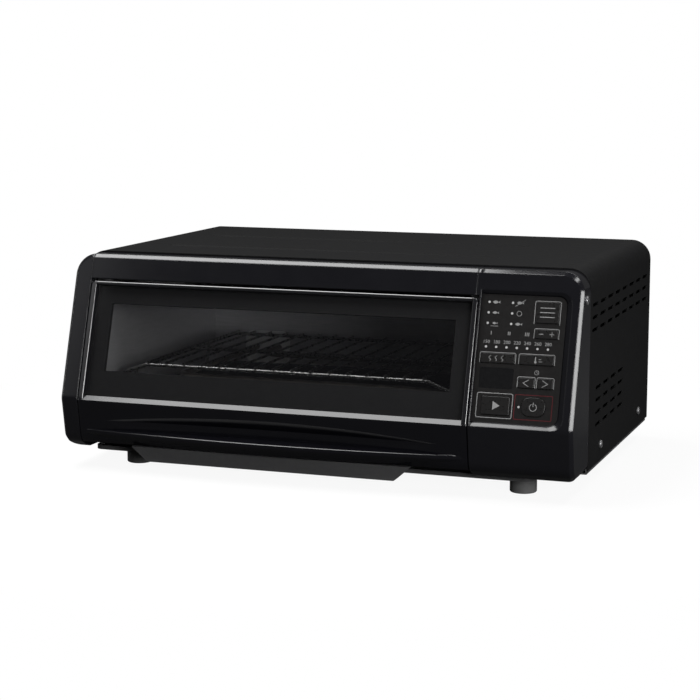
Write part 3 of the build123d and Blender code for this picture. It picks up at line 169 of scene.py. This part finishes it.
frame_black = surface("frame_enamel", (0.009, 0.009, 0.0095), (0.012, 0.012, 0.0125), (0.5, 0.6),
                      specular=0.3, bump=0.1)
panel_black = surface("panel_black", (0.0095, 0.009, 0.009), (0.011, 0.0105, 0.0105),
                      (0.3, 0.36), specular=0.25, bump=0.08, bump_scale=2500)
key_black = surface("key_black", (0.01, 0.0097, 0.0097), (0.0115, 0.011, 0.011), (0.26, 0.32),
                    specular=0.3, bump=0.05, bump_scale=2500)
window_black = surface("display_black", (0.006, 0.006, 0.0065), (0.0075, 0.0075, 0.008),
                       (0.12, 0.16), specular=0.3)
lens = surface("led_lens", (0.3, 0.3, 0.3), (0.34, 0.34, 0.34), (0.2, 0.3), specular=0.5,
               glow=(0.1, 0.1, 0.1))
board_green = surface("circuit_green", (0.02, 0.09, 0.035), (0.03, 0.12, 0.05), (0.4, 0.5),
                      grain=400)
sheath = surface("heater_sheath", (0.16, 0.15, 0.14), (0.24, 0.22, 0.2), (0.35, 0.5), metal=0.8,
                 grain=90, bump=0.1)
wire_hot = surface("heating_wire", (0.2, 0.15, 0.12), (0.3, 0.24, 0.2), (0.4, 0.5), metal=0.8)
ceramic = surface("white_ceramic", (0.66, 0.63, 0.56), (0.74, 0.71, 0.65), (0.6, 0.75),
                  specular=0.3, bump=0.2)
bright = surface("bright_steel", (0.5, 0.5, 0.5), (0.58, 0.58, 0.57), (0.22, 0.32), metal=1.0,
                 grain=80, stretch=(1, 12, 1))
enamel = surface("tray_enamel", (0.011, 0.011, 0.012), (0.016, 0.016, 0.017), (0.16, 0.26),
                 specular=0.5, coat=0.3, grain=150)
chrome = surface("net_chrome", (0.22, 0.22, 0.22), (0.3, 0.3, 0.29), (0.24, 0.34), metal=1.0)
filter_tone = surface("filter_ceramic", (0.2, 0.18, 0.15), (0.28, 0.25, 0.21), (0.7, 0.85),
                      specular=0.2, bump=0.3, bump_scale=2500)
rubber = surface("black_rubber", (0.08, 0.08, 0.08), (0.095, 0.095, 0.095), (0.6, 0.72),
                 specular=0.2, bump=0.2, bump_scale=2000)
screw_black = surface("screw_black", (0.2, 0.2, 0.205), (0.3, 0.3, 0.305), (0.3, 0.42),
                      metal=0.8, grain=700)
quartz = surface("quartz", (0.75, 0.75, 0.73), (0.82, 0.82, 0.8), (0.08, 0.14), specular=0.5,
                 alpha=0.3)
glass = surface("smoked_glass", (0.008, 0.008, 0.009), (0.009, 0.009, 0.01), (0.04, 0.06),
                specular=0.4, alpha=0.22, grain=20)
ink = surface("grey_ink", (0.2, 0.2, 0.2), (0.24, 0.24, 0.24), (0.45, 0.55), specular=0.3)
red_ink = surface("red_ink", (0.07, 0.006, 0.009), (0.085, 0.008, 0.011), (0.4, 0.5),
                  specular=0.3)

looks = {
    gloss: "left_pillar top_strip control_housing",
    trim_gloss: "door_trim_left door_trim_right door_top_bar",
    door_black: "door_body",
    skirt_black: "door_skirt",
    paint: "cover back_panel",
    base_grey: "base_pan",
    zinc: "front_plate heat_shield cavity_support_front cavity_support_rear "
    "exhaust_duct fan_motor",
    cavity_steel: "cavity reflector",
    plate_steel: "heater_plate",
    frame_black: "door_inner_frame",
    panel_black: "control_panel",
    key_black: "menu_key level_key smoke_key temperature_key minus_key plus_key start_key "
    "power_key",
    window_black: "display_window",
    lens: "led_lights",
    board_green: "control_board power_board",
    sheath: "lower_heater",
    wire_hot: "heating_rods",
    ceramic: "heater_holders",
    bright: "temperature_sensor guide_rail_left guide_rail_right tray_carrier fan_impeller",
    enamel: "drip_tray",
    chrome: "wire_net",
    filter_tone: "catalyst_filter",
    rubber: "foot_front_left foot_front_right foot_rear_left foot_rear_right cord_bush",
    screw_black: "cover_screws frame_screws back_screws base_screws door_screws",
    quartz: "upper_heater_front upper_heater_rear",
    glass: "door_glass",
}
for material, names in looks.items():
    for name in names.split():
        for place in nodes[name].material_slots:
            place.material = material


# ------------------------------------------------------------------ printed marks
# Millimetres throughout: x across the front, and s up the lean from the knee.
MITRE_LIMIT = 0.4  # the least cosine by which a corner's mitre is lengthened
CORNER_STEPS = 4
FISH_STEPS = 8
BRACKET_CORNER = 1
BRACKET_WIDTH = 0.5
WAVE_POINTS = 8
WAVE_REACH, WAVE_TURN, WAVE_RISE = 0.9, 1.1, 0.7  # its swing, and its turn and rise per point


def flat_mesh(name, outlines, material, body, depth):
    """Closed outlines in x and s, as thin raised ink on the leaning front."""
    vertices, faces = [], []
    for outline in outlines:
        start = len(vertices)
        count = len(outline)
        for lift in (0, PRINT_THICK):
            vertices += [on_front(x, s, depth - lift) for x, s in outline]
        faces.append(tuple(range(start + count, start + 2 * count)))
        faces.append(tuple(reversed(range(start, start + count))))
        for i in range(count):
            j = (i + 1) % count
            faces.append((start + i, start + j, start + count + j, start + count + i))
    mesh = bpy.data.meshes.new(name)
    mesh.from_pydata(vertices, [], faces)
    mesh.materials.append(material)
    piece = bpy.data.objects.new(name, mesh)
    scene.collection.objects.link(piece)
    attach(piece, body)


def stroke(points, width, closed=False):
    """Quads along a line, mitred at its corners."""
    quads = []
    count = len(points)
    sides = []
    for i in range(count):
        here = Vector(points[i])
        before = Vector(points[i - 1]) if i or closed else None
        after = Vector(points[(i + 1) % count]) if i < count - 1 or closed else None
        if before is None:
            before = here - (after - here)
        if after is None:
            after = here + (here - before)
        first = (here - before).normalized()
        second = (after - here).normalized()
        normal = Vector((-first.y - second.y, first.x + second.x)).normalized()
        reach = width / 2 / max(MITRE_LIMIT, normal.dot(Vector((-first.y, first.x))))
        sides.append((here + normal * reach, here - normal * reach))
    for i in range(count if closed else count - 1):
        a, b = sides[i], sides[(i + 1) % count]
        quads.append([tuple(a[1]), tuple(b[1]), tuple(b[0]), tuple(a[0])])
    return quads


def lines(*runs, width):
    """Strokes of one width, each along its own points."""
    return [quad for points in runs for quad in stroke(points, width)]


def arc(x, s, radius, start, end, steps):
    """Points along an arc about x and s, from one angle to another, in degrees."""
    return [
        (
            x + radius * math.cos(math.radians(start + (end - start) * i / steps)),
            s + radius * math.sin(math.radians(start + (end - start) * i / steps)),
        )
        for i in range(steps + 1)
    ]


def rounded(left, right, low, high, radius):
    """The corner points of a rounded rectangle, anticlockwise from the lower right."""
    points = arc(right - radius, low + radius, radius, -90, 0, CORNER_STEPS)
    points += arc(right - radius, high - radius, radius, 0, 90, CORNER_STEPS)
    points += arc(left + radius, high - radius, radius, 90, 180, CORNER_STEPS)
    return points + arc(left + radius, low + radius, radius, 180, 270, CORNER_STEPS)


def ring(x, s, radius, sides):
    """The corner points of a regular polygon that stands for a circle."""
    return arc(x, s, radius, 0, 360 * (sides - 1) / sides, sides - 1)


def fish(x, s, size):
    """A plain fish, in shares of its length: a pointed oval body and a forked tail."""
    body = [
        (x - size * 0.5 + size * 0.75 * t, s + side * size * 0.2 * math.sin(math.pi * t))
        for side, steps in ((-1, range(FISH_STEPS + 1)), (1, range(FISH_STEPS, 0, -1)))
        for t in (i / FISH_STEPS for i in steps)
    ]
    tail = [
        (x + size * 0.2, s),
        (x + size * 0.5, s - size * 0.18),
        (x + size * 0.42, s),
        (x + size * 0.5, s + size * 0.18),
    ]
    return [body, tail]


def bracket(left, right, low, high):
    """Three sides of a key's printed frame, open below, with cut corners."""
    points = [
        (left, low),
        (left, high - BRACKET_CORNER),
        (left + BRACKET_CORNER, high),
        (right - BRACKET_CORNER, high),
        (right, high - BRACKET_CORNER),
        (right, low),
    ]
    return stroke(points, BRACKET_WIDTH)


def wave(x, low):
    """Points of a wavy line that rises from x and low."""
    steps = range(WAVE_POINTS)
    return [(x + WAVE_REACH * math.sin(t * WAVE_TURN), low + t * WAVE_RISE) for t in steps]


# Rows of food pictures beside the menu lamps: fish, and one ring in the middle of the right column.
MENU_ROWS = (109.5, 100.2, 90.9)
LEFT_FISH_X, LEFT_FISH_SIZE = 166.5, 7.0
RIGHT_FISH_X, RIGHT_FISH_SIZE = 187.8, 6.5
RING_X, RING_RADIUS, RING_SIDES = 187.5, 2.2, 10
FINE_LINE = 0.4
marks = []
for row, s in enumerate(MENU_ROWS):
    marks += fish(LEFT_FISH_X, s, LEFT_FISH_SIZE - row)
    if row == 1:
        marks += stroke(ring(RING_X, s, RING_RADIUS, RING_SIDES), FINE_LINE, True)
    else:
        marks += fish(RIGHT_FISH_X, s, RIGHT_FISH_SIZE)
# A skewer through the upper right fish, and a plate under the lower left one.
marks += lines([(183.6, 106.6), (192.2, 112.4)], [(163.0, 88.4), (169.6, 88.4)], width=FINE_LINE)

# Heat levels as one, two and three bars about their middles.
HEAT_LEVELS = ((1, 164.0), (2, 180.0), (3, 196.0))
BAR_PITCH, BAR_LOW, BAR_HIGH, BAR_WIDTH = 1.5, 80.8, 84.0, 0.6
for bars, middle in HEAT_LEVELS:
    for i in range(bars):
        x = middle + (i - (bars - 1) / 2) * BAR_PITCH
        marks += stroke([(x, BAR_LOW), (x, BAR_HIGH)], BAR_WIDTH)

# A clock over the timer keys.
CLOCK = (207.5, 49.6)
CLOCK_RADIUS, CLOCK_SIDES = 1.9, 12
CLOCK_LINE, HAND_LINE = 0.35, 0.3
marks += stroke(ring(*CLOCK, CLOCK_RADIUS, CLOCK_SIDES), CLOCK_LINE, True)
marks += stroke([(207.5, 51.0), CLOCK, (208.6, 49.0)], HAND_LINE)
flat_mesh("panel_marks", marks, ink, "housing", PANEL_DEPTH)

# Printed frames of the keys, as left, right, low and high, and a corner radius where closed.
KEY_BRACKETS = (
    (201.2, 223.8, 91.6, 112.0),  # menu
    (202.2, 224.1, 79.2, 87.9),  # level
    (155.9, 187.8, 56.4, 65.4),  # smoke
    (190.7, 222.3, 56.4, 65.4),  # temperature
    (191.2, 206.8, 36.0, 45.4),  # minus
    (208.2, 223.3, 36.0, 45.4),  # plus
)
START_FRAME = (156.7, 188.4, 8.4, 29.8, 1.5)
START_FRAME_WIDTH = 0.6
POWER_FRAME = (190.4, 223.4, 8.4, 29.8, 1.0)
POWER_FRAME_WIDTH = 0.5
frames = [quad for sides in KEY_BRACKETS for quad in bracket(*sides)]
frames += stroke(rounded(*START_FRAME), START_FRAME_WIDTH, True)
flat_mesh("key_frames", frames, ink, "housing", PANEL_DEPTH)
frames = stroke(rounded(*POWER_FRAME), POWER_FRAME_WIDTH, True)
flat_mesh("power_frame", frames, red_ink, "housing", PANEL_DEPTH)

# Signs on the keys: three bars, minus and plus, waves, a thermometer, arrows, a triangle, and an
# open ring with a bar.
LEVEL_S = 83.1
SMOKE_X, SMOKE_PITCH, SMOKE_LOW = 165, 5.5, 57.8
BULB = (205.5, 58.6)
BULB_RADIUS, BULB_SIDES = 1.1, 16
SIGN_LINE = 0.5
THIN_SIGN_LINE = 0.45
key_marks = {
    "menu": lines(*([(206, s), (219, s)] for s in (106.0, 102.0, 98.0)), width=0.7),
    "level": lines(
        [(206.5, LEVEL_S), (210.5, LEVEL_S)],
        [(216, LEVEL_S), (220, LEVEL_S)],
        [(218, 81.1), (218, 85.1)],
        width=SIGN_LINE,
    ),
    "smoke": lines(
        *(wave(SMOKE_X + SMOKE_PITCH * i, SMOKE_LOW) for i in range(3)), width=THIN_SIGN_LINE
    ),
    "temperature": stroke([(205.5, 58.9), (205.5, 63.0)], 0.9)
    + [ring(*BULB, BULB_RADIUS, BULB_SIDES)]
    + lines(
        [(208.5, 59.0), (211.5, 59.0)], [(208.5, 61.0), (210.5, 61.0)], width=THIN_SIGN_LINE
    ),
    "minus": stroke([(201.3, 42.9), (196.4, 40.0), (201.3, 37.1)], SIGN_LINE),
    "plus": stroke([(213.2, 42.9), (218.1, 40.0), (213.2, 37.1)], SIGN_LINE),
    "start": [[(171.2, 15.2), (177.6, 19.0), (171.2, 22.8)]],
    "power": stroke(arc(207.0, 19.2, 3.1, 120, 420, 14), 0.55)
    + stroke([(207.0, 19.8), (207.0, 23.6)], 0.6),
}
for key, outlines in key_marks.items():
    flat_mesh(key + "_mark", outlines, ink, key + "_button", KEY_DEPTH)


# Numerals of the temperature scale.
SCALE = ("150", "180", "200", "220", "240", "260", "280")
SCALE_X, SCALE_S, SCALE_PITCH = 160.4, 74.4, 9.17
FIGURE_HEIGHT = 3.0
FONT_RATIO = 1.4  # a curve's size over the height of its numerals
FIGURE_STEPS = 3


def figures(name, text, x, s, depth, body):
    """Plain numerals as a thin mesh on the leaning front, centred on a point."""
    curve = bpy.data.curves.new(name, "FONT")
    curve.body = text
    curve.size = FIGURE_HEIGHT * FONT_RATIO * MM
    curve.extrude = PRINT_THICK * MM / 2
    curve.align_x = "CENTER"
    curve.align_y = "CENTER"
    curve.resolution_u = FIGURE_STEPS
    curve.materials.append(ink)
    source = bpy.data.objects.new(name, curve)
    scene.collection.objects.link(source)
    turn = Matrix((Vector((1, 0, 0)), UP, OUT)).transposed().to_4x4()
    placed = Matrix.Translation(on_front(x, s, depth - PRINT_THICK / 2)) @ turn
    graph = bpy.context.evaluated_depsgraph_get()
    mesh = bpy.data.meshes.new_from_object(source.evaluated_get(graph))
    mesh.transform(placed)
    bpy.data.objects.remove(source)
    piece = bpy.data.objects.new(name, mesh)
    scene.collection.objects.link(piece)
    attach(piece, body)


for i, text in enumerate(SCALE):
    x = SCALE_X + SCALE_PITCH * i
    figures("figure_" + text, text, x, SCALE_S, PANEL_DEPTH, "housing")

# The bush in the back panel, in millimetres: its middle, the skin's radius and its two faces.
BUSH_X, BUSH_Z, BUSH_RADIUS = 205.0, 45.0, 4.2
BUSH_DEPTHS = (169.6, 170.4)
BUSH_SIDES = 24


def bush_skin():
    """A thin rubber skin that closes the bush's bore."""
    mesh = bpy.data.meshes.new("bush_skin")
    count = BUSH_SIDES
    turns = [math.tau * i / count for i in range(count)]
    rim = [(BUSH_X + BUSH_RADIUS * math.cos(t), BUSH_Z + BUSH_RADIUS * math.sin(t)) for t in turns]
    vertices = [Vector((x, y, z)) * MM for y in BUSH_DEPTHS for x, z in rim]
    faces = [tuple(range(count)), tuple(range(2 * count - 1, count - 1, -1))]
    faces += [(i, i + count, (i + 1) % count + count, (i + 1) % count) for i in range(count)]
    mesh.from_pydata(vertices, [], faces)
    mesh.materials.append(rubber)
    skin = bpy.data.objects.new("bush_skin", mesh)
    scene.collection.objects.link(skin)
    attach(skin, "housing")


bush_skin()


# ------------------------------------------------------------------ studio
GLOSS_SHARE = 0.02  # how much of the white stage gloss shows
AMBIENT = 0.05  # the world's level for light on the object
FLOOR_SIZE = 60.0
FLOOR_ROUGH = 0.9
FLOOR_WHITE = (0.8, 0.8, 0.8)
FLOOR_BOUNCE = (0.02, 0.02, 0.02)  # the floor's tone for light on the object
SHADOW_FLOOR = 0.92  # the floor's own light next to the object
SHADOW_FADE = (0.3, 0.55)  # metres from the middle between which that light rises to 1


def stage_plane(name, size, material):
    """A square of the stage at floor level."""
    half = size / 2
    corners = [(-half, -half, 0), (half, -half, 0), (half, half, 0), (-half, half, 0)]
    mesh = bpy.data.meshes.new(name)
    mesh.from_pydata(corners, [], [(0, 1, 2, 3)])
    mesh.materials.append(material)
    plane = bpy.data.objects.new(name, mesh)
    scene.collection.objects.link(plane)


def reckoned(tree, operation, first, second):
    """A Math node on two outputs."""
    node = tree.nodes.new("ShaderNodeMath")
    node.operation = operation
    tree.links.new(first, node.inputs[0])
    tree.links.new(second, node.inputs[1])
    return node.outputs[0]


def whiteness(tree):
    """How white the stage is to a ray: fully to the eye and through glass, faintly in gloss."""
    rays = tree.nodes.new("ShaderNodeLightPath")
    faint = tree.nodes.new("ShaderNodeMath")
    faint.operation = "MULTIPLY"
    faint.inputs[1].default_value = GLOSS_SHARE
    tree.links.new(rays.outputs["Is Glossy Ray"], faint.inputs[0])
    total = faint.outputs[0]
    for kind in ("Is Transmission Ray", "Is Camera Ray"):
        total = reckoned(tree, "MAXIMUM", rays.outputs[kind], total)
    return total


def pale_floor():
    """White to the eye with a soft shadow near the object, and dark in its own bounce."""
    made = bpy.data.materials.new("pale_floor")
    made.use_nodes = True
    tree = made.node_tree
    shader = tree.nodes["Principled BSDF"]
    socket(shader, "Roughness", FLOOR_ROUGH)
    socket(shader, "Specular IOR Level", 0.0)
    white = whiteness(tree)
    tone = mixed(tree, white, FLOOR_BOUNCE, FLOOR_WHITE)
    tree.links.new(tone, shader.inputs["Base Color"])
    place = tree.nodes.new("ShaderNodeTexCoord")
    distance = tree.nodes.new("ShaderNodeVectorMath")
    distance.operation = "LENGTH"
    tree.links.new(place.outputs["Object"], distance.inputs[0])
    own_light = ranged(tree, distance.outputs["Value"], SHADOW_FLOOR, 1.0, *SHADOW_FADE)
    shine = tree.nodes.new("ShaderNodeEmission")
    blend = tree.nodes.new("ShaderNodeMixShader")
    tree.links.new(reckoned(tree, "MULTIPLY", white, own_light), blend.inputs[0])
    tree.links.new(shader.outputs[0], blend.inputs[1])
    tree.links.new(shine.outputs[0], blend.inputs[2])
    tree.links.new(blend.outputs[0], tree.nodes["Material Output"].inputs[0])
    return made


stage_plane("floor", FLOOR_SIZE, pale_floor())

world = bpy.data.worlds.new("studio")
scene.world = world
world.use_nodes = True
tree = world.node_tree
shader = tree.nodes["Background"]
level = ranged(tree, whiteness(tree), AMBIENT, 1.0, 0.0, 1.0)
tree.links.new(level, shader.inputs["Strength"])
shader.inputs["Color"].default_value = (1, 1, 1, 1)


# Each softbox: its place, its width and height, and the brightness of its face.
SOFTBOXES = {
    "overhead": ((-0.55, -0.1, 1.45), 1.6, 0.8, 9.0),
    "right_side": ((1.75, -0.38, 0.45), 0.3, 0.9, 14.0),
    "front_right": ((1.3, -1.5, 0.5), 0.7, 0.7, 17.0),
    "front_left": ((-1.2, -1.35, 0.75), 0.5, 0.8, 0.7),
    "left_side": ((-1.74, 0.3, 0.3), 0.4, 0.9, 4.0),
    "corner": ((0.75, -0.25, 1.4), 1.1, 0.25, 9.0),
    "behind": ((0.3, 1.7, 1.7), 1.2, 0.7, 2.8),
}
LAMP_TARGET = (0, 0, 0.1)


def softbox(name, place, width, height, radiance):
    """A rectangular area lamp that faces the object."""
    lamp = bpy.data.lights.new(name, "AREA")
    lamp.shape = "RECTANGLE"
    lamp.size = width
    lamp.size_y = height
    lamp.energy = radiance * width * height * math.pi
    box = bpy.data.objects.new(name, lamp)
    box.location = place
    aim = Vector(LAMP_TARGET) - Vector(place)
    box.rotation_euler = aim.to_track_quat("-Z", "Y").to_euler()
    scene.collection.objects.link(box)


for name, lamp in SOFTBOXES.items():
    softbox(name, *lamp)

# The photograph's camera, with its lens in millimetres and its angles in degrees.
CAMERA_PLACE = (0.5951, -1.7007, 0.3822)
CAMERA_DOWN = 8.874
CAMERA_TURN = 19.724
LENS = 97.02
SENSOR_WIDTH = 36.0
NEAR_CLIP = 0.05
camera = bpy.data.cameras.new("camera")
camera.lens = LENS
camera.sensor_width = SENSOR_WIDTH
camera.clip_start = NEAR_CLIP
viewer = bpy.data.objects.new("camera", camera)
viewer.location = CAMERA_PLACE
viewer.rotation_euler = (math.radians(90 - CAMERA_DOWN), 0, math.radians(CAMERA_TURN))
scene.collection.objects.link(viewer)
scene.camera = viewer
scene.view_settings.view_transform = "Standard"
